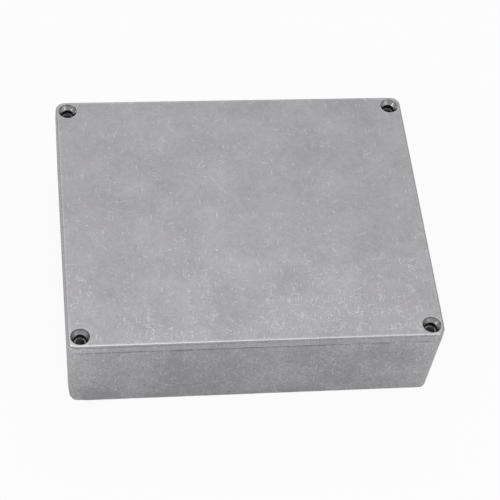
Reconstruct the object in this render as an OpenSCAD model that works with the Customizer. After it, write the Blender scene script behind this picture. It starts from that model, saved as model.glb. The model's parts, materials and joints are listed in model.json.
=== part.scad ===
// Die cast aluminium box: a drafted body with four screw bosses, and a lid
// that drops into it with a locating lip. All walls taper away from the seam,
// as they leave the two halves of the die. Millimetres, Z up, origin at the
// centre of the underside.

/* [Box] */
// Length over the seam, where the box is widest
box_length = 145; // [120:1:180]
// Width over the seam
box_width = 121; // [90:1:140]
// Height with the lid on
box_height = 41; // [34:0.5:55]
// Radius of the upright corners at the seam
corner_r = 4; // [3.6:0.1:6]
// Radius round the underside
underside_r = 2; // [1:0.1:2.4]
// Draft of every wall, in degrees
draft = 1.7; // [0.8:0.1:2]

/* [Casting walls] */
// Thickness of the side walls
wall = 2.4; // [2:0.1:2.6]
// Thickness of the floor
floor_t = 2.4; // [2:0.1:3]
// Radius of the upright inside corners, at the mouth
inside_r = 2.2; // [1.8:0.1:2.3]
// Radius between the floor and the walls
floor_r = 1; // [0.4:0.1:1]

/* [Lid] */
// Height of the lid's side above the seam
lid_edge = 4.2; // [3.8:0.1:5.5]
// Thickness of the lid inside its rim
lid_plate = 2.4; // [2:0.1:3]
// Radius round the lid's top edge
lid_top_r = 0.8; // [0.4:0.1:1]
// Depth of the lip below the seam
lip_depth = 1.8; // [1.2:0.1:3]
// Thickness of the lip where it leaves the seam
lip_t = 1.6; // [1.2:0.1:2]
// Clearance between the lip and the body's walls and bosses
lip_gap = 0.3; // [0.2:0.05:0.5]
// Radius along the tip of the lip
lip_tip_r = 0.4; // [0.2:0.1:0.5]
// Radius round the ceiling of the lid's hollow
hollow_r = 1; // [0.4:0.1:1.4]

/* [Screws] */
// Distance of each screw from the two sides next to it, at the seam
screw_inset = 5; // [4.9:0.1:6]
// Radius of the screw bosses, at the mouth
boss_r = 3.8; // [3.4:0.1:4.4]
// Radius of the tapped holes, at the tapping size
tapped_r = 1.45; // [1.2:0.05:1.6]
// Depth of the tapped holes
tapped_depth = 14; // [8:1:18]
// Radius of the countersink at the top of a tapped hole
tapped_top_r = 1.8; // [1.7:0.05:2]
// Radius of the screws' clearance holes in the lid
clearance_r = 2.3; // [2.1:0.05:2.5]
// Radius of the sunk seats for the screw heads
head_r = 3.8; // [3.4:0.05:4]
// Depth of the straight wall above a head's cone
head_wall = 0.9; // [0.5:0.1:1.2]

/* [Hidden] */
$fn = 64;

body_finish = [0.62, 0.62, 0.63];
lid_finish = [0.68, 0.68, 0.69];
drill_point = 118;    // angle at the end of a tapped hole
fillet_share = 0.9;   // most of the width it has that a fillet may take
arc_steps = 8;        // flats along each small edge round
over = 1;             // how far a cut runs on past the face that it opens

seam_z = box_height - lid_edge;
mouth = [box_length, box_width] - 2 * [wall, wall];
mouth_r = min(inside_r, fillet_share * (screw_inset - wall));
screw = [box_length, box_width] / 2 - [screw_inset, screw_inset];

// Width that a drafted side loses over a height
function taper(height) = height * tan(draft);

// An edge round that leaves some of the narrow end flat
function fitted(edge, reach, height) = min(edge, fillet_share * (reach - taper(height)));

// Section of a drafted side, reach deep at the bottom and rounded at its top edge.
// It can start below its base, and behind the line that it is drawn from.
module side_section(reach, height, edge, below = 0, behind = 0) {
    r = fitted(edge, reach, height);
    centre = [reach - taper(height - r) - r / cos(draft), height - r];
    polygon([
        [-behind, -below],
        [reach + taper(below), -below],
        for (i = [0 : arc_steps])
            let (a = draft + (90 - draft) * i / arc_steps) centre + r * [cos(a), sin(a)],
        [-behind, height]
    ]);
}

module along_x(run) rotate([90, 0, 90]) linear_extrude(run) children();
module along_y(run) translate([0, run, 0]) rotate([90, 0, 0]) linear_extrude(run) children();
module quarter_turn() rotate_extrude(angle = 90) children();

module in_quadrants()
    for (mx = [0, 1], my = [0, 1]) mirror([mx, 0, 0]) mirror([0, my, 0]) children();

module on_screws()
    in_quadrants() translate([screw.x, screw.y, 0]) children();

// A block that narrows upwards, with round upright corners and a round top edge.
// The same section runs along its sides and turns round its corners.
module drafted_block(size, height, corner, edge) {
    spine = size / 2 - [corner, corner];
    module side() side_section(corner, height, edge);
    in_quadrants() {
        cube([spine.x, spine.y, height]);
        translate([spine.x, 0, 0]) along_y(spine.y) side();
        translate([0, spine.y, 0]) along_x(spine.x) side();
        translate([spine.x, spine.y, 0]) quarter_turn() side();
    }
}

// A block like that, with each corner notched round a boss at the given centre.
// The notches widen upwards as the bosses do, and below carries it past its base.
module notched_block(size, height, corner, centre, boss, edge, below = 0) {
    spine = size / 2 - [corner, corner];
    turn = boss + corner;
    notch = centre - [turn, turn];
    module side(behind = 0) side_section(corner, height, edge, below, behind);
    in_quadrants() {
        translate([0, 0, -below]) {
            cube([spine.x, notch.y, height + below]);
            cube([notch.x, spine.y, height + below]);
        }
        translate([spine.x, 0, 0]) along_y(notch.y) side();
        translate([0, spine.y, 0]) along_x(notch.x) side();
        translate([spine.x, notch.y, 0]) quarter_turn() side();
        translate([notch.x, spine.y, 0]) quarter_turn() side();
        translate([notch.x, centre.y, 0]) along_y(spine.y - centre.y) side();
        translate([centre.x, notch.y, 0]) along_x(spine.x - centre.x) side();
        // round the boss, reaching back past the corner where the two cubes meet
        translate([centre.x, centre.y, 0]) rotate(180) quarter_turn()
            translate([turn, 0]) mirror([1, 0]) side(behind = turn / 2);
    }
}

// Blind hole down from the seam, with a countersunk mouth
module tapped_hole()
    rotate_extrude() polygon([
        [0, over],
        [tapped_top_r + over, over],
        [tapped_r, tapped_r - tapped_top_r],
        [tapped_r, -tapped_depth],
        [0, -tapped_depth - tapped_r / tan(drill_point / 2)]
    ]);

// Clearance hole up from the seam, opening into a 90 degree head seat
module head_seat() {
    cone_top = lid_edge - head_wall;
    rotate_extrude() polygon([
        [0, -over],
        [clearance_r, -over],
        [clearance_r, cone_top - (head_r - clearance_r)],
        [head_r, cone_top],
        [head_r, lid_edge + over],
        [0, lid_edge + over]
    ]);
}

module box_body()
    color(body_finish)
    translate([0, 0, seam_z])
    difference() {
        mirror([0, 0, 1]) drafted_block([box_length, box_width], seam_z, corner_r, underside_r);
        mirror([0, 0, 1])
            notched_block(mouth, seam_z - floor_t, mouth_r, screw, boss_r, floor_r, over);
        on_screws() tapped_hole();
    }

// The lip keeps its gap all round from the body's walls and bosses. The hollow
// is the lip's own outline moved in by the lip's thickness.
module lid() {
    gap = [lip_gap, lip_gap];
    thick = [lip_t, lip_t];
    lip_corner = mouth_r - lip_gap;
    lip_boss = boss_r + lip_gap;
    color(lid_finish)
    translate([0, 0, seam_z])
    difference() {
        union() {
            drafted_block([box_length, box_width], lid_edge, corner_r, lid_top_r);
            mirror([0, 0, 1])
                notched_block(mouth - 2 * gap, lip_depth, lip_corner, screw, lip_boss, lip_tip_r);
        }
        translate([0, 0, -lip_depth])
            notched_block(mouth - 2 * gap - 2 * thick, lip_depth + lid_edge - lid_plate,
                          lip_corner, screw - gap - thick, lip_boss - lip_gap, hollow_r, over);
        on_screws() head_seat();
    }
}

box_body();
lid();
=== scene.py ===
# %% [markdown]
# # A die cast aluminium box
# Two castings make this box: a deep body with a screw boss in each corner, and a
# flat lid with four countersunk holes. Both were tumbled in stones after casting,
# so their edges are soft and their skin is dull grey with fine scratches.
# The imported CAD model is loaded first. The box's outer size, the height of its
# seam and the places of its screws are read from it.

# %% Load the frame
import json
import math

import bmesh
import bpy
from mathutils import Matrix, Vector


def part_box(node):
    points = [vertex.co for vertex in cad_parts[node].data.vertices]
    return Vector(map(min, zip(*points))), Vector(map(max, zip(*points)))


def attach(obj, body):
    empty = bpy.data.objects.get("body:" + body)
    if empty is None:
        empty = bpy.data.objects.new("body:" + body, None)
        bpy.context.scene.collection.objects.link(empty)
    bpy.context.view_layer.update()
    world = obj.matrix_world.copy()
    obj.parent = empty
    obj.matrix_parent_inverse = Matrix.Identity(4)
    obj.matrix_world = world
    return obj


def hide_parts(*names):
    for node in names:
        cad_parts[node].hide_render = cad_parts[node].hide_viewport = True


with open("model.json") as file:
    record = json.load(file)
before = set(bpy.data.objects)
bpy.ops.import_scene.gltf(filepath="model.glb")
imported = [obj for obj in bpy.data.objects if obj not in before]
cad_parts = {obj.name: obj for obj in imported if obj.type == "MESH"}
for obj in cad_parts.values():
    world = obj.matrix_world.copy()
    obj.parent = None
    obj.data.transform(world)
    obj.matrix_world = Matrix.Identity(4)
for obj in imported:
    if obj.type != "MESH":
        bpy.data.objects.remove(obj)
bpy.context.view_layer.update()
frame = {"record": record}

MM = 0.001
NEAR = 0.01 * MM         # places closer than this count as the same
body_low, body_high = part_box("box_body")
lid_low, lid_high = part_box("lid")
SEAM = body_high.z
TOP = lid_high.z
LENGTH = body_high.x - body_low.x
WIDTH = body_high.y - body_low.y
mounts = {m["name"]: m for m in frame["record"]["mounts"]}
SCREW_X = mounts["lid_screw_holes"]["dims"]["spacing_x_mm"] * MM / 2
SCREW_Y = mounts["lid_screw_holes"]["dims"]["spacing_y_mm"] * MM / 2
print(f"box {LENGTH / MM:.1f} x {WIDTH / MM:.1f} mm, seam at {SEAM / MM:.1f}, top at {TOP / MM:.1f}")

# %% [markdown]
# ## The camera
# The box is seen from above its long front side, and a little from the left. A
# long lens from about 0.7 m away keeps the sides almost parallel. The camera is
# placed by its position, and turned by the three directions of its own axes,
# because that states the view exactly and needs no tracking constraint.

# %% Place the camera
VIEW_FROM = Vector((-0.09305, -0.41642, 0.59064))
VIEW_ALONG = Vector((0.1367, 0.5817, -0.8018)).normalized()
VIEW_RIGHT = Vector((0.9902, -0.1030, 0.0941))
LENS_MM = 125.78
SENSOR_MM = 36

bpy.ops.object.camera_add(location=VIEW_FROM)
camera = bpy.context.object
camera.name = "camera"
right = (VIEW_RIGHT - VIEW_RIGHT.dot(VIEW_ALONG) * VIEW_ALONG).normalized()
up = right.cross(VIEW_ALONG)
turn = Matrix((right, up, -VIEW_ALONG)).transposed()
camera.matrix_world = Matrix.Translation(VIEW_FROM) @ turn.to_4x4()
camera.data.lens = LENS_MM
camera.data.sensor_width = SENSOR_MM
camera.data.clip_start = 0.01
bpy.context.scene.camera = camera
print("camera", round(VIEW_FROM.length, 3), "m from the origin")

# %% [markdown]
# ## Working by hand in edit mode
# Each casting, and each block cut out of one, starts as one flat face and grows by
# insets. An inset moves all sides of a face inwards by the same amount, and with a
# depth it also raises the face. So one inset is a drafted wall, and a run of small
# ones is a round edge. Scaling a face instead would pull its round corners out of
# true, and a bevel on the finished block can't follow a taper as exactly. These
# helpers enter and leave edit mode, pick what lies in a place, and apply modifiers.


# %% Helpers for edit mode
def deselect_all():
    if bpy.context.object and bpy.context.object.mode != "OBJECT":
        bpy.ops.object.mode_set(mode="OBJECT")
    bpy.ops.object.select_all(action="DESELECT")


def edit(piece, select_mode="VERT"):
    """Edit mode on one piece, with nothing selected."""
    deselect_all()
    piece.select_set(True)
    bpy.context.view_layer.objects.active = piece
    bpy.ops.object.mode_set(mode="EDIT")
    bpy.ops.mesh.select_mode(type=select_mode)
    bpy.ops.mesh.select_all(action="DESELECT")


def pick(piece, kind, wanted):
    """Selects the verts, edges or faces of the piece in edit mode that wanted() accepts."""
    mesh = bmesh.from_edit_mesh(piece.data)
    chosen = [e for e in getattr(mesh, kind) if wanted(e)]
    for e in chosen:
        e.select_set(True)
    bmesh.update_edit_mesh(piece.data)
    return len(chosen)


def done():
    bpy.ops.object.mode_set(mode="OBJECT")


def apply_modifier(piece, kind, **settings):
    """Adds a modifier and applies it at once."""
    deselect_all()
    piece.select_set(True)
    bpy.context.view_layer.objects.active = piece
    modifier = piece.modifiers.new(kind.title(), kind)
    for name, value in settings.items():
        setattr(modifier, name, value)
    bpy.ops.object.modifier_apply(modifier=modifier.name)


def middle(edge):
    return (edge.verts[0].co + edge.verts[1].co) / 2


# %% [markdown]
# ## Flat outlines to grow from
# The outside of both castings is a rectangle with round corners. Its straight sides
# are cut into short edges of under a millimetre, so that wear can move the edge a
# little here and there. The plane gets its round corners by a vertex bevel.

# %% A rounded rectangle
DRAFT = math.radians(1.7)
CORNER = 4 * MM          # radius of the upright corners, where the box is widest
CORNER_STEPS = 14
EDGE_STEP = 0.75 * MM    # length of the short edges along the straight sides


def taper(height):
    return height * math.tan(DRAFT)


def rounded_plane(name, length, width, corner, z):
    deselect_all()
    bpy.ops.mesh.primitive_plane_add(size=1, location=(0, 0, z))
    piece = bpy.context.object
    piece.name = piece.data.name = name
    piece.scale = (length, width, 1)
    bpy.ops.object.transform_apply(location=True, rotation=True, scale=True)
    edit(piece)
    bpy.ops.mesh.select_all(action="SELECT")
    bpy.ops.mesh.bevel(offset=corner, segments=CORNER_STEPS, affect="VERTICES", profile=0.5)
    bpy.ops.mesh.select_all(action="SELECT")
    bpy.ops.mesh.delete(type="ONLY_FACE")
    for axis, side in ((0, length), (1, width)):
        bpy.ops.mesh.select_all(action="DESELECT")
        pick(piece, "edges", lambda e: abs(e.verts[0].co[axis] - e.verts[1].co[axis]) > side / 2)
        bpy.ops.mesh.subdivide(number_cuts=round((side - 2 * corner) / EDGE_STEP) - 1)
    bpy.ops.mesh.select_all(action="SELECT")
    bpy.ops.mesh.edge_face_add()
    done()
    return piece


# %% [markdown]
# ## Running a section round an outline
# A section is a list of pairs: how far in, and how far along, for each inset.
# A round edge is a quarter circle cut into such steps.


# %% Sections
def round_edge(radius, steps, start=0.0, end=math.pi / 2):
    """Inset and depth of each step of an edge round, from the wall to the flat."""
    turns = [start + (end - start) * i / steps for i in range(steps + 1)]
    return [(radius * (math.cos(a) - math.cos(b)), radius * (math.sin(b) - math.sin(a)))
            for a, b in zip(turns, turns[1:])]


def grow(piece, section, towards):
    """Insets the selected flat face again and again, up (1) or down (-1), following the section."""
    mesh = bmesh.from_edit_mesh(piece.data)
    if any(f.normal.z * towards < 0 for f in mesh.faces if f.select):
        bpy.ops.mesh.flip_normals()
    for inward, along in section:
        bpy.ops.mesh.inset(thickness=inward, depth=along, use_even_offset=True,
                           use_boundary=True, use_relative_offset=False)


def close_opening(piece, z):
    """A face over the open loop at that height, selected and ready to grow."""
    bpy.ops.mesh.select_all(action="DESELECT")
    bpy.ops.mesh.select_mode(type="EDGE")
    pick(piece, "edges", lambda e: e.is_boundary and abs(middle(e).z - z) < NEAR)
    bpy.ops.mesh.edge_face_add()
    bpy.ops.mesh.select_mode(type="FACE")


def face_outwards(piece):
    """Joins vertices that lie on each other, and turns every face outwards."""
    edit(piece)
    bpy.ops.mesh.select_all(action="SELECT")
    bpy.ops.mesh.remove_doubles(threshold=NEAR / 10)
    bpy.ops.mesh.normals_make_consistent(inside=False)
    done()


def measure(piece):
    """Prints the piece's box, its faces, and how many edges are open."""
    mesh = bmesh.new()
    mesh.from_mesh(piece.data)
    open_edges = sum(1 for e in mesh.edges if not e.is_manifold)
    volume = mesh.calc_volume() / MM ** 3
    mesh.free()
    low = [min(v.co[i] for v in piece.data.vertices) / MM for i in range(3)]
    high = [max(v.co[i] for v in piece.data.vertices) / MM for i in range(3)]
    print(f"{piece.name}: {len(piece.data.polygons)} faces, {open_edges} open edges, {volume:.0f} mm3,",
          [round(v, 2) for v in low], [round(v, 2) for v in high])


# %% [markdown]
# ## Wear on the edges
# Tumbling takes a little off each edge, more in some places than in others. A
# Displace modifier moves the middle of an edge round inwards by a cloud texture.
# It only moves the vertices in its group, so all the others stay in place. One
# bottom corner was knocked in harder: there the same modifier moves the corner and
# the walls close to it, and fades out with the distance. A bump map can't do this,
# because it leaves the outline straight.


# %% Wear an edge
def wear_edge(piece, low, high, depth, grain):
    """Moves the outer vertices between two heights inwards by up to depth."""
    group = piece.vertex_groups.new(name="worn")
    group.add([v.index for v in piece.data.vertices if low < v.co.z < high], 1.0, "REPLACE")
    clouds = bpy.data.textures.new("wear", "CLOUDS")
    clouds.noise_scale = grain
    clouds.noise_depth = 1
    apply_modifier(piece, "DISPLACE", texture=clouds, texture_coords="LOCAL", direction="NORMAL",
                   mid_level=0.0, strength=-depth, vertex_group="worn")
    piece.vertex_groups.clear()
    print(f"{piece.name} worn between {low / MM:.2f} and {high / MM:.2f} mm")


def knock_corner(piece, corner, reach, depth, foot):
    """Moves the faces round one bottom corner inwards, most near the corner, and nothing at height 0."""
    group = piece.vertex_groups.new(name="knocked")
    for v in piece.data.vertices:
        share = (1 - (v.co - corner).length / reach) * min(1, v.co.z / foot)
        if share > 0:
            group.add([v.index], share, "REPLACE")
    apply_modifier(piece, "DISPLACE", direction="NORMAL", mid_level=0.0, strength=-depth,
                   vertex_group="knocked")
    piece.vertex_groups.clear()
    print(f"{piece.name} knocked by up to {depth / MM:.2f} mm near", [round(c / MM, 1) for c in corner])


# %% [markdown]
# ## The body's outside
# The body is widest just under the seam. It grows down from there: a wall with
# draft, the round along the underside, and the flat underside. Then it grows up
# by the small worn round at the seam. The wall is cut at a few heights. Where a
# drafted wall runs into a round, the round starts at the wall's own angle.

# %% Body, outside
SEAM_ROUND = 0.32 * MM
SEAM_STEPS = 4
UNDERSIDE_ROUND = 2 * MM


def drafted_piece(name, widest_z, up_section, down_section):
    """A block grown both ways from its widest outline."""
    inset = taper(abs(widest_z - SEAM))
    piece = rounded_plane(name, LENGTH - 2 * inset, WIDTH - 2 * inset, CORNER - inset, widest_z)
    edit(piece, "FACE")
    bpy.ops.mesh.select_all(action="SELECT")
    grow(piece, up_section, 1)
    done()
    edit(piece, "FACE")
    close_opening(piece, widest_z)
    grow(piece, down_section, -1)
    done()
    face_outwards(piece)
    return piece


def wall_and_round(height, cuts, radius, steps):
    """The section of a drafted wall with a round at its end. The height is that of both."""
    wall = height - radius * (1 - math.sin(DRAFT))
    wall_cut = (taper(wall) / cuts, wall / cuts)
    return [wall_cut] * cuts + round_edge(radius, steps, start=DRAFT)


body = drafted_piece("die_cast_body", SEAM - SEAM_ROUND,
                     round_edge(SEAM_ROUND, SEAM_STEPS),
                     wall_and_round(SEAM - SEAM_ROUND, cuts=6, radius=UNDERSIDE_ROUND, steps=8))
wear_edge(body, SEAM - 0.9 * SEAM_ROUND, SEAM - 0.05 * SEAM_ROUND, depth=0.14 * MM, grain=2.2 * MM)
wear_edge(body, 0.1 * UNDERSIDE_ROUND, 0.8 * UNDERSIDE_ROUND, depth=0.15 * MM, grain=3 * MM)
front_left = Vector((-LENGTH / 2 + taper(SEAM), -WIDTH / 2 + taper(SEAM), 0))
knock_corner(body, front_left, reach=7 * MM, depth=0.7 * MM, foot=UNDERSIDE_ROUND / 2)
measure(body)

# %% [markdown]
# ## The space inside
# A cavity is modelled as a solid and cut out of the body with a boolean. In plan
# it is a rectangle whose corners step in round the screw bosses: a plane, cut by
# four planes into a cross, its corners then bevelled. The outward corners get the
# casting's inside radius, and the inward ones the radius of the boss.

# %% An outline that steps round the bosses
NOTCH_STEPS = 8


def notched_plane(name, length, width, screw_x, screw_y, boss, corner, z):
    deselect_all()
    bpy.ops.mesh.primitive_plane_add(size=1, location=(0, 0, z))
    piece = bpy.context.object
    piece.name = piece.data.name = name
    piece.scale = (length, width, 1)
    bpy.ops.object.transform_apply(location=True, rotation=True, scale=True)
    step_x = screw_x - boss
    step_y = screw_y - boss

    def in_corner(face):
        centre = face.calc_center_median()
        return abs(centre.x) > step_x and abs(centre.y) > step_y

    def at_side(v):
        return max(abs(v.co.x) - length / 2, abs(v.co.y) - width / 2) > -NEAR

    def at_step(v):
        return abs(abs(v.co.x) - step_x) < NEAR and abs(abs(v.co.y) - step_y) < NEAR

    edit(piece)
    for normal, place in (((1, 0, 0), step_x), ((1, 0, 0), -step_x),
                          ((0, 1, 0), step_y), ((0, 1, 0), -step_y)):
        bpy.ops.mesh.select_all(action="SELECT")
        bpy.ops.mesh.bisect(plane_co=[n * place for n in normal], plane_no=normal)
    bpy.ops.mesh.select_mode(type="FACE")
    bpy.ops.mesh.select_all(action="DESELECT")
    pick(piece, "faces", in_corner)
    bpy.ops.mesh.delete(type="FACE")
    bpy.ops.mesh.select_all(action="SELECT")
    bpy.ops.mesh.dissolve_faces()
    bpy.ops.mesh.select_mode(type="VERT")
    for wanted, radius in ((at_side, corner), (at_step, boss)):
        bpy.ops.mesh.select_all(action="DESELECT")
        count = pick(piece, "verts", wanted)
        bpy.ops.mesh.bevel(offset=radius, segments=NOTCH_STEPS, affect="VERTICES", profile=0.5)
        print(name, "bevelled", count, "corners")
    done()
    return piece


def notched_piece(name, outline, z, over, section, towards):
    """A notched prism: over behind its outline, and grown up (1) or down (-1) along the section."""
    piece = notched_plane(name, *outline, z)
    edit(piece, "FACE")
    bpy.ops.mesh.select_all(action="SELECT")
    bpy.ops.mesh.extrude_region_move(TRANSFORM_OT_translate={"value": (0, 0, -towards * over)})
    bpy.ops.mesh.select_all(action="DESELECT")
    pick(piece, "faces", lambda f: all(abs(v.co.z - z) < NEAR for v in f.verts))
    grow(piece, section, towards)
    done()
    face_outwards(piece)
    return piece


# %% Cut the cavity
WALL = 2.4 * MM
FLOOR = 2.4 * MM
BOSS = 3.8 * MM
INSIDE_CORNER = 2.2 * MM
FLOOR_ROUND = 1.0 * MM
OVER = 1.0 * MM          # how far a cutter reaches past what it cuts


def cut(piece, cutter, operation="DIFFERENCE"):
    """Boolean with a cutter, which is then deleted."""
    apply_modifier(piece, "BOOLEAN", object=cutter, operation=operation, solver="EXACT")
    bpy.data.objects.remove(cutter)


cavity = notched_piece("cavity", (LENGTH - 2 * WALL, WIDTH - 2 * WALL, SCREW_X, SCREW_Y, BOSS, INSIDE_CORNER),
                       SEAM, OVER, wall_and_round(SEAM - FLOOR, cuts=1, radius=FLOOR_ROUND, steps=4), -1)
measure(cavity)
cut(body, cavity)
measure(body)

# %% [markdown]
# ## Tapped holes in the bosses
# A drill leaves a straight hole with a cone at its end, and a tap then cuts the
# thread. Both tools are modelled. The drill is a filled circle, extruded and
# scaled from step to step. The tap is one tooth of the thread, swept by a Screw
# modifier with a pitch and capped at both ends.


# %% Turned shapes
def from_screw(point):
    """How far a point is from the axis of its nearest screw."""
    return math.hypot(abs(point.x) - SCREW_X, abs(point.y) - SCREW_Y)


def four_screws(tool):
    """Copies a tool, which was made on the Z axis, to all four screws, and joins the copies."""
    copies = []
    for x in (-SCREW_X, SCREW_X):
        for y in (-SCREW_Y, SCREW_Y):
            deselect_all()
            tool.select_set(True)
            bpy.context.view_layer.objects.active = tool
            bpy.ops.object.duplicate(linked=False)
            bpy.ops.transform.translate(value=(x, y, 0))
            copies.append(bpy.context.object)
    bpy.data.objects.remove(tool)
    deselect_all()
    for c in copies:
        c.select_set(True)
    bpy.context.view_layer.objects.active = copies[0]
    bpy.ops.object.join()
    bpy.ops.object.transform_apply(location=True, rotation=True, scale=True)
    return bpy.context.object


def turned(name, profile, sides=48):
    """A solid of revolution on the Z axis, from (radius, height) pairs that go one way."""
    deselect_all()
    radius, z = profile[0]
    bpy.ops.mesh.primitive_circle_add(vertices=sides, radius=radius, fill_type="NGON", location=(0, 0, z))
    piece = bpy.context.object
    piece.name = piece.data.name = name
    bpy.ops.object.transform_apply(location=True, rotation=True, scale=True)
    edit(piece, "FACE")
    bpy.ops.mesh.select_all(action="SELECT")
    for next_radius, next_z in profile[1:]:
        bpy.ops.mesh.extrude_region_move(TRANSFORM_OT_translate={"value": (0, 0, next_z - z)})
        bpy.ops.transform.resize(value=(next_radius / radius, next_radius / radius, 1))
        radius, z = next_radius, next_z
    done()
    face_outwards(piece)
    return piece


# %% Drill and tap
TAP_DRILL = mounts["boss_screw_holes"]["dims"]["hole_r_mm"] * MM
THREAD = 1.75 * MM
PITCH = 0.6 * MM
TURN_STEPS = 28
TAP_START = 0.5 * MM     # how far above the seam the tap starts
TOOTH_FOOT = 0.15 * MM   # how far inside the drilled wall the tooth begins
FOOT_WIDTH = 0.54 * MM
TIP_WIDTH = 0.08 * MM
HOLE_DEPTH = 14 * MM
THREAD_DEPTH = 11 * MM
MOUTH = 1.8 * MM
DRILL_POINT = math.radians(118)
DRILL_TIP = 0.02 * MM    # a turned shape can't come to radius 0

drill = turned("drill", [
    (DRILL_TIP, SEAM - HOLE_DEPTH - TAP_DRILL / math.tan(DRILL_POINT / 2)),
    (TAP_DRILL, SEAM - HOLE_DEPTH),
    (TAP_DRILL, SEAM - (MOUTH - TAP_DRILL)),
    (MOUTH + OVER, SEAM + OVER)])
cut(body, four_screws(drill))
measure(body)


# %% The thread
def thread_tool():
    """One tooth of the thread, swept down its helix, with both ends capped."""
    deselect_all()
    bpy.ops.mesh.primitive_plane_add(size=1, location=(0, 0, 0), rotation=(math.pi / 2, 0, 0))
    piece = bpy.context.object
    piece.name = piece.data.name = "tap"
    bpy.ops.object.transform_apply(location=True, rotation=True, scale=True)
    edit(piece)
    mesh = bmesh.from_edit_mesh(piece.data)
    start = SEAM + TAP_START
    for v in mesh.verts:
        outer = v.co.x > 0
        upper = v.co.z > 0
        v.co.x = THREAD if outer else TAP_DRILL - TOOTH_FOOT
        v.co.y = 0
        v.co.z = start + (1 if upper else -1) * (TIP_WIDTH if outer else FOOT_WIDTH) / 2
    bmesh.update_edit_mesh(piece.data)
    bpy.ops.mesh.select_all(action="SELECT")
    bpy.ops.mesh.delete(type="ONLY_FACE")
    done()
    turns = round(THREAD_DEPTH / PITCH)
    apply_modifier(piece, "SCREW", axis="Z", angle=2 * math.pi * turns, screw_offset=-PITCH * turns,
                   steps=TURN_STEPS * turns, render_steps=TURN_STEPS * turns, use_merge_vertices=True,
                   merge_threshold=NEAR / 10)
    edit(piece, "EDGE")
    bpy.ops.mesh.select_non_manifold()
    bpy.ops.mesh.fill_holes(sides=4)
    done()
    face_outwards(piece)
    measure(piece)
    return piece


def split_faces(piece, wanted):
    """Cuts the wanted faces into triangles."""
    edit(piece, "FACE")
    count = pick(piece, "faces", lambda f: wanted(f.calc_center_median()))
    bpy.ops.mesh.quads_convert_to_tris(quad_method="BEAUTY", ngon_method="BEAUTY")
    done()
    print(piece.name, "had", count, "faces split into triangles")


# the thread leaves many-sided faces in the mouths, which an export would cut into stray slivers
cut(body, four_screws(thread_tool()))
split_faces(body, lambda c: from_screw(c) < MOUTH and c.z > SEAM - PITCH)
measure(body)

# %% [markdown]
# ## The lid
# The lid grows from its widest outline, just above the seam: up its drafted side
# and over the round along the top, and down by the small worn round at the seam.

# %% Lid, outside
LID_ROUND = 0.8 * MM
lid = drafted_piece("die_cast_lid", SEAM + SEAM_ROUND,
                    wall_and_round(TOP - SEAM - SEAM_ROUND, cuts=4, radius=LID_ROUND, steps=7),
                    round_edge(SEAM_ROUND, SEAM_STEPS))
wear_edge(lid, TOP - 0.75 * LID_ROUND, TOP - 0.08 * LID_ROUND, depth=0.06 * MM, grain=1.8 * MM)
wear_edge(lid, SEAM + 0.05 * SEAM_ROUND, SEAM + 0.9 * SEAM_ROUND, depth=0.14 * MM, grain=2.5 * MM)
measure(lid)

# %% [markdown]
# ## The lip and the hollow
# Under the lid a thin lip steps round the bosses and drops into the body. It is
# one notched block added below the seam, and a smaller one cut back out of it, up
# into the plate, so that the lid is a shell of even thickness.

# %% Lip and hollow
LIP_DEPTH = SEAM - lid_low.z
LIP_GAP = 0.3 * MM
LIP_WALL = 1.6 * MM
LIP_TIP = 0.4 * MM
PLATE = 2.4 * MM
HOLLOW_ROUND = 1.0 * MM
LIP_ROOT = 0.5 * MM      # how far the lip's block reaches up into the plate
lip_corner = INSIDE_CORNER - LIP_GAP

lip = notched_piece("lip", (LENGTH - 2 * (WALL + LIP_GAP), WIDTH - 2 * (WALL + LIP_GAP), SCREW_X, SCREW_Y,
                            BOSS + LIP_GAP, lip_corner),
                    SEAM, LIP_ROOT, wall_and_round(LIP_DEPTH, cuts=1, radius=LIP_TIP, steps=3), -1)
cut(lid, lip, "UNION")
measure(lid)

inner = WALL + LIP_GAP + LIP_WALL
hollow_deep = LIP_DEPTH + TOP - SEAM - PLATE
hollow = notched_piece("hollow", (LENGTH - 2 * inner, WIDTH - 2 * inner, SCREW_X - LIP_GAP - LIP_WALL,
                                  SCREW_Y - LIP_GAP - LIP_WALL, BOSS, lip_corner),
                       lid_low.z, OVER, wall_and_round(hollow_deep, cuts=1, radius=HOLLOW_ROUND, steps=4), 1)
measure(hollow)
cut(lid, hollow)
measure(lid)

# %% [markdown]
# ## Screw seats
# Each hole is a clearance bore, a 90 degree cone for a flat head, and a short
# wall at the top, almost straight. The rim is broken by the tumbling, so the cutter flares
# out by a small round where it leaves the lid.

# %% Seats
BORE = mounts["lid_screw_holes"]["dims"]["hole_r_mm"] * MM
RIM_ROUND = 0.12 * MM
HEAD = 3.8 * MM - RIM_ROUND
HEAD_WALL = 0.9 * MM
WALL_FLARE = 0.12 * MM   # the short wall at the top of a seat opens a little upwards
BORE_RELIEF = 0.2 * MM   # the bore is this much wider below the seam
FOOT_BREAK = 0.08 * MM   # the cone's sharp foot is broken by this much each way
CONE_FOOT = TOP - HEAD_WALL - (HEAD - WALL_FLARE - BORE)

rim = [(HEAD + RIM_ROUND * (1 - math.cos(a)), TOP - RIM_ROUND * (1 - math.sin(a)))
       for a in (0, math.radians(30), math.radians(60), math.radians(90))]
seat = turned("seat", [
    (BORE + BORE_RELIEF, lid_low.z - OVER),
    (BORE + BORE_RELIEF, SEAM - BORE_RELIEF),
    (BORE, SEAM),
    (BORE, CONE_FOOT - FOOT_BREAK),
    (BORE + FOOT_BREAK, CONE_FOOT + FOOT_BREAK),
    (HEAD - WALL_FLARE, TOP - HEAD_WALL)] + rim + [(HEAD + RIM_ROUND, TOP + OVER)], sides=72)
cut(lid, four_screws(seat))
measure(lid)

# %% [markdown]
# ## Finishing the pieces
# Smooth shading needs care on castings: a big flat face next to a small round
# would shade unevenly. Edges sharper than 40 degrees are kept sharp, and weighted
# normals let each flat face keep its own direction.

# %% Shade and place
SHARP = math.radians(40)

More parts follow.
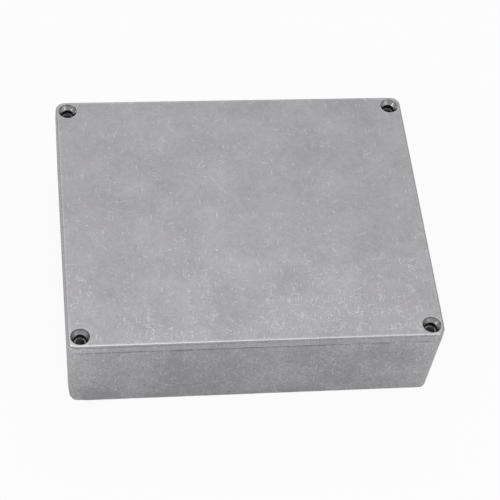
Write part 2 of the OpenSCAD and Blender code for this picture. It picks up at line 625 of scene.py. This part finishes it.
for piece, node in ((body, "box_body"), (lid, "lid")):
    face_outwards(piece)
    deselect_all()
    piece.select_set(True)
    bpy.context.view_layer.objects.active = piece
    bpy.ops.object.shade_smooth_by_angle(angle=SHARP)
    apply_modifier(piece, "WEIGHTED_NORMAL", keep_sharp=True, weight=60)
    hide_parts(node)
    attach(piece, "root")
    measure(piece)

# %% [markdown]
# ## Shader helpers
# Materials are built from nodes in code. These helpers add a node, link what is a
# socket and set what is a number, and start a node group with named inputs and
# outputs. All patterns read the object's own coordinates, turned into millimetres,
# so that a scale of 2 means features of half a millimetre.


# %% Helpers for node trees
def add(tree, kind, values=(), **settings):
    """A node with its settings, and its inputs given by name or number, as sockets or values."""
    node = tree.nodes.new(kind)
    for name, value in settings.items():
        setattr(node, name, value)
    for key, value in dict(values).items():
        if isinstance(value, bpy.types.NodeSocket):
            tree.links.new(value, node.inputs[key])
        else:
            node.inputs[key].default_value = value
    return node


def calc(tree, operation, a, b=0.0, c=0.0, clamp=False):
    return add(tree, "ShaderNodeMath", {0: a, 1: b, 2: c}, operation=operation, use_clamp=clamp).outputs[0]


def ramp(tree, value, low, high, out_low=0.0, out_high=1.0):
    """A smooth step from out_low to out_high while value goes from low to high."""
    return add(tree, "ShaderNodeMapRange", {"Value": value, "From Min": low, "From Max": high,
                                            "To Min": out_low, "To Max": out_high},
               interpolation_type="SMOOTHSTEP").outputs[0]


def noise(tree, vector, scale, detail=3.0, rough=0.55):
    return add(tree, "ShaderNodeTexNoise", {"Vector": vector, "Scale": scale, "Detail": detail,
                                            "Roughness": rough}).outputs["Fac"]


def length_of(tree, a, b):
    """The length of the vector (a, b)."""
    squares = [calc(tree, "MULTIPLY", side, side) for side in (a, b)]
    return calc(tree, "SQRT", calc(tree, "ADD", *squares))


def blend(tree, factor, a, b):
    """Mixes two colours, each a socket or an RGB triple."""
    node = tree.nodes.new("ShaderNodeMix")
    node.data_type = "RGBA"
    for key, value in ((0, factor), (6, a), (7, b)):
        if isinstance(value, bpy.types.NodeSocket):
            tree.links.new(value, node.inputs[key])
        else:
            node.inputs[key].default_value = value if key == 0 else (*value, 1)
    return node.outputs[2]


def start_group(name, inputs, outputs):
    """A node group with named sockets. Returns the tree, its inputs by name and its output node."""
    tree = bpy.data.node_groups.new(name, "ShaderNodeTree")
    for socket, default in inputs.items():
        kind = "NodeSocketVector" if default is None else "NodeSocketFloat"
        made = tree.interface.new_socket(name=socket, in_out="INPUT", socket_type=kind)
        if default is not None:
            made.default_value = default
    for socket in outputs:
        tree.interface.new_socket(name=socket, in_out="OUTPUT", socket_type="NodeSocketFloat")
    given = tree.nodes.new("NodeGroupInput").outputs
    return tree, given, tree.nodes.new("NodeGroupOutput").inputs


def place_group(tree, group, **values):
    node = tree.nodes.new("ShaderNodeGroup")
    node.node_tree = group
    for name, value in values.items():
        socket = node.inputs[name.replace("_", " ")]
        if isinstance(value, bpy.types.NodeSocket):
            tree.links.new(value, socket)
        else:
            socket.default_value = value
    return node.outputs


def split(tree, vector):
    return add(tree, "ShaderNodeSeparateXYZ", {0: vector}).outputs


def millimetres(tree):
    """The object's own coordinates in millimetres."""
    at = add(tree, "ShaderNodeTexCoord").outputs["Object"]
    return add(tree, "ShaderNodeVectorMath", {0: at, "Scale": 1 / MM}, operation="SCALE").outputs[0]


# %% [markdown]
# ## The cast skin
# Tumbled castings are an even grey with soft clouds, where the stones rubbed more
# or less, and a fine grain. The group adds three noises of falling size. It gives
# a tone around zero for the colour, and a height for the bump.

# %% Group: cast skin
cast_skin, given, result = start_group(
    "cast_skin", {"Position": None, "Cloud": 0.8, "Mottle": 0.7, "Grain": 1.5}, ("Tone", "Height"))
at = given["Position"]
clouds = noise(cast_skin, at, scale=0.05, detail=3, rough=0.55)
mottle = noise(cast_skin, at, scale=0.45, detail=4, rough=0.7)
grain = noise(cast_skin, at, scale=2.2, detail=2, rough=0.6)
tone = calc(cast_skin, "MULTIPLY", calc(cast_skin, "SUBTRACT", clouds, 0.5), given["Cloud"])
for layer, amount in ((mottle, "Mottle"), (grain, "Grain")):
    tone = calc(cast_skin, "MULTIPLY_ADD", calc(cast_skin, "SUBTRACT", layer, 0.5), given[amount], tone)
cast_skin.links.new(tone, result["Tone"])
cast_skin.links.new(calc(cast_skin, "MULTIPLY_ADD", grain, 0.35, mottle), result["Height"])
print("cast_skin has", len(cast_skin.nodes), "nodes")

# %% [markdown]
# ## Marks from tumbling
# The stones leave small bright nicks and short fine scratches. Nicks are the
# middles of Voronoi cells, kept in a few cells only. A scratch is the same on
# coordinates that are turned in the plane of a face, stretched along its length
# and pressed together across it, so that each cell is long and thin. A large noise
# gathers the marks in some places, and there are more of them towards the front.

# %% Group: tumble marks
tumble_marks, given, result = start_group(
    "tumble_marks", {"Position": None, "Nicks": 0.2, "Scratches": 0.25, "Pits": 0.1},
    ("Nicks", "Scratches", "Pits"))
at = given["Position"]
wobble = add(tumble_marks, "ShaderNodeTexNoise", {"Vector": at, "Scale": 1.1, "Detail": 2.0}).outputs["Color"]
bent = add(tumble_marks, "ShaderNodeVectorMath", {0: wobble, 1: (0.9, 0.9, 0.9), 2: at},
           operation="MULTIPLY_ADD").outputs[0]
gather = ramp(tumble_marks, noise(tumble_marks, at, scale=0.06), 0.35, 0.65, 0.3, 1.7)
handled = ramp(tumble_marks, split(tumble_marks, at)[1], -WIDTH / MM / 2, -5, 1.8, 0.4)
gather = calc(tumble_marks, "MULTIPLY", gather, handled)


def marks(vector, scale, radius, share):
    """Soft dots in the middle of that share of the cells."""
    cells = add(tumble_marks, "ShaderNodeTexVoronoi", {"Vector": vector, "Scale": scale, "Randomness": 1.0})
    chance = split(tumble_marks, cells.outputs["Color"])[0]
    kept = calc(tumble_marks, "LESS_THAN", chance, calc(tumble_marks, "MULTIPLY", share, gather))
    dot = ramp(tumble_marks, cells.outputs["Distance"], radius * 0.4, radius, 1.0, 0.0)
    return calc(tumble_marks, "MULTIPLY", dot, kept)


large_nicks = marks(bent, scale=0.5, radius=0.22, share=given["Nicks"])
small_nicks = marks(bent, scale=1.0, radius=0.22, share=given["Nicks"])
nicks = calc(tumble_marks, "MAXIMUM", large_nicks, calc(tumble_marks, "MULTIPLY", small_nicks, 0.7))
tumble_marks.links.new(nicks, result["Nicks"])
tumble_marks.links.new(marks(bent, scale=0.35, radius=0.16, share=given["Pits"]), result["Pits"])

# each way that scratches run: how it is turned, how long they are, and their share
ON_TOP = [((0, 0, turn), length, share) for turn, length, share in (
    (0.5, 9, 1.0), (2.2, 7, 1.0), (1.3, 7, 1.0), (-0.4, 10, 1.0), (0.1, 24, 0.4))]
ON_FRONT = [((0, turn, 0), 7, 1.3) for turn in (0.5, -0.9, 1.4)]
ON_ENDS = [((turn, 0, math.pi / 2), 7, 1.3) for turn in (0.6, -0.7)]
THICK = 0.6
scratches = None
for turn, length, share in ON_TOP + ON_FRONT + ON_ENDS:
    turned_at = add(tumble_marks, "ShaderNodeMapping", {
        "Vector": bent, "Rotation": turn, "Scale": (length, THICK, THICK)}, vector_type="TEXTURE").outputs[0]
    chance = calc(tumble_marks, "MULTIPLY", given["Scratches"], share)
    one = marks(turned_at, scale=1.0, radius=0.3, share=chance)
    scratches = one if scratches is None else calc(tumble_marks, "MAXIMUM", scratches, one)
tumble_marks.links.new(scratches, result["Scratches"])
print("tumble_marks has", len(tumble_marks.nodes), "nodes")

# %% [markdown]
# ## Worn edges
# Edges are worn bright because everything rubs on them, and along the lid's top edge
# a painted highlight is added. The group works out how far a point lies in from the
# drafted outline, and how far above the seam. A mask adds the first to the distance
# from an edge's height, which is the way to that edge along the surface. It doesn't depend on how finely the
# mesh is cut, as a vertex mask would.

# %% Group: box edges
box_edges, given, result = start_group(
    "box_edges", {"Position": None, "Half Length": LENGTH / MM / 2, "Half Width": WIDTH / MM / 2,
                  "Corner": CORNER / MM, "Seam": SEAM / MM, "Slope": math.tan(DRAFT)},
    ("Inset", "Above Seam"))
where = split(box_edges, given["Position"])
over_seam = calc(box_edges, "SUBTRACT", where[2], given["Seam"])
beyond = []
for axis, half in ((0, "Half Length"), (1, "Half Width")):
    straight = calc(box_edges, "SUBTRACT", given[half], given["Corner"])
    beyond.append(calc(box_edges, "SUBTRACT", calc(box_edges, "ABSOLUTE", where[axis]), straight))
outside = [calc(box_edges, "MAXIMUM", b, 0) for b in beyond]
round_part = length_of(box_edges, *outside)
flat_part = calc(box_edges, "MINIMUM", calc(box_edges, "MAXIMUM", *beyond), 0)
reach = calc(box_edges, "SUBTRACT", calc(box_edges, "ADD", round_part, flat_part), given["Corner"])
drawn_in = calc(box_edges, "MULTIPLY", calc(box_edges, "ABSOLUTE", over_seam), given["Slope"])
inset = calc(box_edges, "MULTIPLY", calc(box_edges, "ADD", reach, drawn_in), -1)
box_edges.links.new(calc(box_edges, "MAXIMUM", inset, 0), result["Inset"])
box_edges.links.new(over_seam, result["Above Seam"])
print("box_edges has", len(box_edges.nodes), "nodes")

# %% Group: from a screw
screw_distance, given, result = start_group(
    "screw_distance", {"Position": None, "Screw X": SCREW_X / MM, "Screw Y": SCREW_Y / MM}, ("Radius",))
where = split(screw_distance, given["Position"])
sides = [calc(screw_distance, "SUBTRACT", calc(screw_distance, "ABSOLUTE", where[i]), given[name])
         for i, name in ((0, "Screw X"), (1, "Screw Y"))]
screw_distance.links.new(length_of(screw_distance, *sides), result["Radius"])
print("screw_distance has", len(screw_distance.nodes), "nodes")

# %% [markdown]
# ## Where the casting is bright, where it is dirty, and where light and shade are painted
# Each function makes one mask. Bare metal shines in the marks, round the seats and at
# the scuffed corner, and along the lid's top edge, where a painted highlight is added.
# The seam holds dirt and painted shade, a painted shade line runs under the lid's round,
# and dirt stays in the pits. Most masks are a ramp over a distance with a noise added,
# so that their ends are ragged.


# %% Masks for wear and dirt
# the dark line at this depth is painted shade
SHADE_LINE_DEPTH = 0.8 * MM        # how far below the lid's top a dark line runs, at the foot of its round


def scuffed_corner(tree, at):
    """1 at the front left corner, fading out over the next 10 mm or so."""
    place = split(tree, at)
    sides = [calc(tree, "ADD", place[i], half / MM / 2) for i, half in ((0, LENGTH), (1, WIDTH))]
    ragged = calc(tree, "MULTIPLY_ADD", noise(tree, at, scale=0.12), 10.0, length_of(tree, *sides))
    return ramp(tree, ragged, 9.0, 20.0, 1.0, 0.0)


def marks_with_gatherings(tree, at, scuffed, nicks, scratches, pits, right_marks):
    """The marks, with more of them at the scuffed corner and towards the right end."""
    right_end = calc(tree, "MULTIPLY", ramp(tree, split(tree, at)[0], 0, LENGTH / MM / 2), right_marks)
    nicks = calc(tree, "ADD", calc(tree, "MULTIPLY_ADD", scuffed, 0.25, nicks), right_end)
    scratches = calc(tree, "ADD", calc(tree, "MULTIPLY_ADD", scuffed, 0.4, scratches), right_end)
    pits = calc(tree, "ADD", right_end, pits)
    return place_group(tree, tumble_marks, Position=at, Nicks=nicks, Scratches=scratches, Pits=pits)


def wear_and_highlight_places(tree, at, tumbled, mark_depth, edge_wear_and_highlight, knocked, scuffed, ragged):
    """Where bare metal shines; along the lid's top edge the shine is also a painted highlight."""
    worn = calc(tree, "MULTIPLY", calc(tree, "MAXIMUM", tumbled["Nicks"], tumbled["Scratches"]), mark_depth)
    edge_wear_and_highlight_depth = calc(tree, "MULTIPLY_ADD", knocked, 0.35, 0.4)
    worn = calc(tree, "MAXIMUM", worn, calc(tree, "MULTIPLY", edge_wear_and_highlight, edge_wear_and_highlight_depth))
    radius = place_group(tree, screw_distance, Position=at)["Radius"]
    from_rim = calc(tree, "ABSOLUTE", calc(tree, "SUBTRACT", radius, HEAD / MM))
    rim = ramp(tree, calc(tree, "ADD", from_rim, ragged), 0.25, 1.0, 0.6, 0.0)
    return calc(tree, "MULTIPLY_ADD", scuffed, 0.04, calc(tree, "MAXIMUM", worn, rim), clamp=True)


def dirt_and_shade_places(tree, at, edges, depth, scuffed, knocked, pits):
    """Dark places: the seam, dirty and with painted shade, a painted shade line under the lid's round, and
    the dirty pits. The seam is rubbed clean at the scuffed corner.
    """
    # the seam: dirt, and painted shade along the joint
    from_seam = calc(tree, "ADD", calc(tree, "ABSOLUTE", edges["Above Seam"]), edges["Inset"])
    from_seam = calc(tree, "MULTIPLY_ADD", noise(tree, at, scale=0.5), 0.7, from_seam)
    seam = calc(tree, "MULTIPLY", ramp(tree, from_seam, 0.35, 0.85, 1.0, 0.0),
                calc(tree, "MULTIPLY_ADD", scuffed, -0.8, 1.0))
    # a painted shade line at the foot of the lid's round, darker towards the left
    from_shade_line = calc(tree, "ABSOLUTE", calc(tree, "ADD", depth, SHADE_LINE_DEPTH / MM))
    from_shade_line = calc(tree, "MULTIPLY_ADD", noise(tree, at, scale=0.6, detail=2), 0.3, from_shade_line)
    shade_line = calc(tree, "MULTIPLY", ramp(tree, from_shade_line, 0.25, 0.5, 1.0, 0.0),
                  calc(tree, "MULTIPLY_ADD", knocked, 0.35, 0.5))
    dirt_and_shade = calc(tree, "MAXIMUM", seam, shade_line)
    return calc(tree, "MAXIMUM", dirt_and_shade, calc(tree, "MULTIPLY", pits, 0.5))


# %% [markdown]
# ## The casting's finish
# Bare aluminium is a metal, so its colour is the colour of its reflections, and
# its roughness sets how soft they are. The tone and the masks only change that
# colour and the roughness a little. Body and lid share one recipe, with their own
# values: the lid is lighter and has fewer marks.


# %% A recipe for cast aluminium
# the colour of dirt in the pits, and of the painted shade in the seam and under the lid's round
DIRT_AND_SHADE_COLOR = (0.05, 0.05, 0.055)
STAIN = (1.02, 0.95, 0.97)   # what a faint stain does to the grey
SHINE = 1.75                 # how much lighter bare metal is than the skin


def skin_color(tree, at, tone, grey, tone_depth):
    """The grey of the skin, lighter and darker with its tone, and faintly stained in places."""
    dark = [c * (1 - tone_depth) for c in grey]
    light = [c * (1 + tone_depth) for c in grey]
    color = blend(tree, calc(tree, "ADD", tone, 0.5, clamp=True), dark, light)
    stain = ramp(tree, noise(tree, at, scale=0.06, detail=3, rough=0.5), 0.52, 0.72)
    return blend(tree, calc(tree, "MULTIPLY", stain, 0.5), color, [c * by for c, by in zip(grey, STAIN)])


def cast_finish(name, grey, tone_depth, grain, nicks, scratches, pits, right_marks, mark_depth, roughness):
    material = bpy.data.materials.new(name)
    material.use_nodes = True
    tree = material.node_tree
    shader = tree.nodes["Principled BSDF"]
    at = millimetres(tree)
    place = split(tree, at)
    skin = place_group(tree, cast_skin, Position=at, Grain=grain)
    edges = place_group(tree, box_edges, Position=at)
    depth = calc(tree, "SUBTRACT", place[2], TOP / MM)
    ragged = calc(tree, "MULTIPLY", noise(tree, at, scale=1.3), 0.9)

    # knocked is 1 at the left end and 0 past a fifth of the length right of the middle:
    # there the lid's top edge is worn brighter and gets a stronger painted highlight,
    # and the painted shade line under it is darker; the front left corner is scuffed
    knocked = ramp(tree, place[0], -LENGTH / MM / 2, LENGTH / MM / 5, 1.0, 0.0)
    scuffed = scuffed_corner(tree, at)
    tumbled = marks_with_gatherings(tree, at, scuffed, nicks, scratches, pits, right_marks)
    from_top = calc(tree, "ADD", calc(tree, "ABSOLUTE", depth), edges["Inset"])
    # the lid's top edge, worn bright and also given a painted highlight
    edge_wear_and_highlight = ramp(tree, calc(tree, "ADD", from_top, ragged), 0.5, 1.9, 1.0, 0.0)
    worn = wear_and_highlight_places(tree, at, tumbled, mark_depth, edge_wear_and_highlight, knocked, scuffed, ragged)
    # dirt in the pits and the seam, with painted shade in the seam and under the lid's round
    dirt_and_shade = dirt_and_shade_places(tree, at, edges, depth, scuffed, knocked, tumbled["Pits"])
    under = ramp(tree, calc(tree, "ADD", place[2], edges["Inset"]), 0.3, 1.6, 1.0, 0.0)

    bright = [min(1, c * SHINE) for c in grey]
    # bare metal where worn; along the lid's top edge this is also a painted highlight
    color = blend(tree, worn, skin_color(tree, at, skin["Tone"], grey, tone_depth), bright)
    # dark where dirty; in the seam and under the lid's round this darkening is painted shade
    color = blend(tree, calc(tree, "MULTIPLY", dirt_and_shade, 0.7), color, DIRT_AND_SHADE_COLOR)
    color = blend(tree, calc(tree, "MULTIPLY", under, 0.25), color, bright)
    tree.links.new(color, shader.inputs["Base Color"])
    shader.inputs["Metallic"].default_value = 1
    rough = calc(tree, "MULTIPLY_ADD", skin["Tone"], 0.12, roughness)
    rough = calc(tree, "MULTIPLY_ADD", worn, -0.05, rough)
    rough = calc(tree, "MULTIPLY_ADD", edge_wear_and_highlight, -0.16, rough)
    tree.links.new(rough, shader.inputs["Roughness"])
    height = calc(tree, "MULTIPLY_ADD", worn, 0.4, skin["Height"])
    bump = add(tree, "ShaderNodeBump", {"Height": height, "Strength": 0.25, "Distance": 0.06 * MM})
    tree.links.new(bump.outputs[0], shader.inputs["Normal"])
    print(name, "has", len(tree.nodes), "nodes")
    return material


lid_finish = cast_finish("tumbled_lid", (0.474, 0.474, 0.486), tone_depth=0.3, grain=1.1, nicks=0.1,
                         scratches=0.08, pits=0.04, right_marks=0, mark_depth=0.65, roughness=0.42)
body_finish = cast_finish("tumbled_body", (0.426, 0.426, 0.438), tone_depth=0.35, grain=1.6, nicks=0.22,
                          scratches=0.15, pits=0.2, right_marks=0.25, mark_depth=0.75, roughness=0.45)

# %% [markdown]
# ## Machined seats and holes
# The seats were cut with a turning tool after casting, which leaves fine rings
# round each screw. On a cone such rings stretch every reflection into a bright
# spoke. They are a bump made from the distance to the screw's axis and the height,
# so it is the same all the way round. The bores, the tapped threads and the mouths
# of the tapped holes are painted nearly black, as painted shade.


# %% Machined finish
def turned_finish(name, grey, ring_depth, roughness, rings=7.0):
    """Bare cut metal. Its rings have a depth in mm, and a larger number of rings makes them finer."""
    material = bpy.data.materials.new(name)
    material.use_nodes = True
    tree = material.node_tree
    shader = tree.nodes["Principled BSDF"]
    at = millimetres(tree)
    radius = place_group(tree, screw_distance, Position=at)["Radius"]
    along = add(tree, "ShaderNodeCombineXYZ", {0: radius, 1: split(tree, at)[2], 2: 0.0}).outputs[0]
    cuts = noise(tree, along, scale=rings, detail=2, rough=0.6)
    stained = [c * 0.75 for c in grey]
    grooved = [c * 0.6 for c in grey]
    color = blend(tree, ramp(tree, noise(tree, at, scale=0.8), 0.35, 0.7), stained, grey)
    color = blend(tree, calc(tree, "MULTIPLY", ramp(tree, cuts, 0.4, 0.62), 0.35), color, grooved)
    tree.links.new(color, shader.inputs["Base Color"])
    shader.inputs["Metallic"].default_value = 1
    shader.inputs["Roughness"].default_value = roughness
    bump = add(tree, "ShaderNodeBump", {"Height": cuts, "Strength": 1.0, "Distance": ring_depth * MM})
    tree.links.new(bump.outputs[0], shader.inputs["Normal"])
    return material


seat_finish = turned_finish("turned_seat", (0.62, 0.62, 0.63), ring_depth=0.025, roughness=0.2, rings=16.0)
# the bores, and the tapped holes with their mouths, are nearly black: painted shade in the holes
bore_painted_shade = turned_finish("dark_bore", (0.06, 0.06, 0.065), ring_depth=0.03, roughness=0.5)
thread_painted_shade = turned_finish("tapped_thread", (0.07, 0.07, 0.075), ring_depth=0.02, roughness=0.3)
boss_finish = turned_finish("faced_boss", (0.85, 0.85, 0.86), ring_depth=0.01, roughness=0.45)


# %% Put the finishes on their faces
LOOKS_UP = 0.99          # the upright part of the normal of a flat face that looks up
BELOW_HOLES = 10 * MM    # a height between the tapped holes and the underside
SEAT_START = CONE_FOOT - 0.1 * MM
BORE_REACH = BORE + 0.3 * MM


def on_seat(centre, normal):
    return from_screw(centre) < HEAD and SEAT_START < centre.z < TOP - HEAD_WALL


def in_bore(centre, normal):
    return from_screw(centre) < BORE_REACH and centre.z < SEAT_START


def in_tapped_hole(centre, normal):
    return from_screw(centre) < MOUTH + NEAR and centre.z > BELOW_HOLES and normal.z < LOOKS_UP


def on_boss(centre, normal):
    return normal.z > LOOKS_UP and centre.z > SEAM - NEAR


def finish_faces(piece, material, wanted):
    piece.data.materials.append(material)
    edit(piece, "FACE")
    count = pick(piece, "faces", lambda f: wanted(f.calc_center_median(), f.normal))
    piece.active_material_index = len(piece.data.materials) - 1
    bpy.ops.object.material_slot_assign()
    done()
    print(piece.name, material.name, "on", count, "faces")


for piece, material in ((lid, lid_finish), (body, body_finish)):
    piece.data.materials.clear()
    piece.data.materials.append(material)
finish_faces(lid, seat_finish, on_seat)
finish_faces(lid, bore_painted_shade, in_bore)
finish_faces(body, thread_painted_shade, in_tapped_hole)
finish_faces(body, boss_finish, on_boss)

# %% [markdown]
# ## The studio
# A white paper floor and soft lamps: a pale world for even light, a wide lamp
# overhead, a small one at the left, and two more at the front right and the back.
# The camera sees the paper mostly as plain white, through Light Path, and a share
# of it as lit paper, so that the shadow shows. Past the paper it sees plain white.

# %% Floor, lights and world
WHITE_SHARE = 0.92
WORLD_LIGHT = 0.44

deselect_all()
bpy.ops.mesh.primitive_plane_add(size=6, location=(0, 0, 0))
floor = bpy.context.object
floor.name = "floor"
paper = bpy.data.materials.new("paper")
paper.use_nodes = True
tree = paper.node_tree
tree.nodes.clear()
seen = add(tree, "ShaderNodeLightPath").outputs
lit = add(tree, "ShaderNodeBsdfDiffuse", {"Color": (0.9, 0.9, 0.9, 1)})
white = add(tree, "ShaderNodeEmission", {"Color": (1, 1, 1, 1), "Strength": 1.0})
mixed = add(tree, "ShaderNodeMixShader", {0: calc(tree, "MULTIPLY", seen["Is Camera Ray"], WHITE_SHARE),
                                          1: lit.outputs[0], 2: white.outputs[0]})
add(tree, "ShaderNodeOutputMaterial", {"Surface": mixed.outputs[0]})
floor.data.materials.append(paper)

world = bpy.data.worlds.new("studio")
bpy.context.scene.world = world
world.use_nodes = True
tree = world.node_tree
background = tree.nodes["Background"]
background.inputs["Color"].default_value = (1, 1, 1, 1)
past_paper = add(tree, "ShaderNodeLightPath").outputs["Is Camera Ray"]
strength = calc(tree, "MULTIPLY_ADD", past_paper, 1 - WORLD_LIGHT, WORLD_LIGHT)
tree.links.new(strength, background.inputs["Strength"])

# where each lamp hangs, its width, and its power; all point at the origin
LAMPS = {
    "overhead": ((0.0, -0.1, 1.2), 1.4, 5.0),
    "left": ((-0.94, -0.42, 0.63), 0.2, 1.4),
    "front_right": ((0.7, -0.8, 0.62), 0.7, 1.6),
    "back": ((0.1, 1.0, 1.1), 0.9, 1.1),
}
for name, (spot, size, watts) in LAMPS.items():
    bpy.ops.object.light_add(type="AREA", location=spot)
    lamp = bpy.context.object
    lamp.name = name
    lamp.data.size = size
    lamp.data.energy = watts
    lamp.rotation_euler = (-Vector(spot)).to_track_quat("-Z", "Y").to_euler()
    print("lamp", name, watts, "W")

bpy.context.scene.view_settings.view_transform = "Standard"
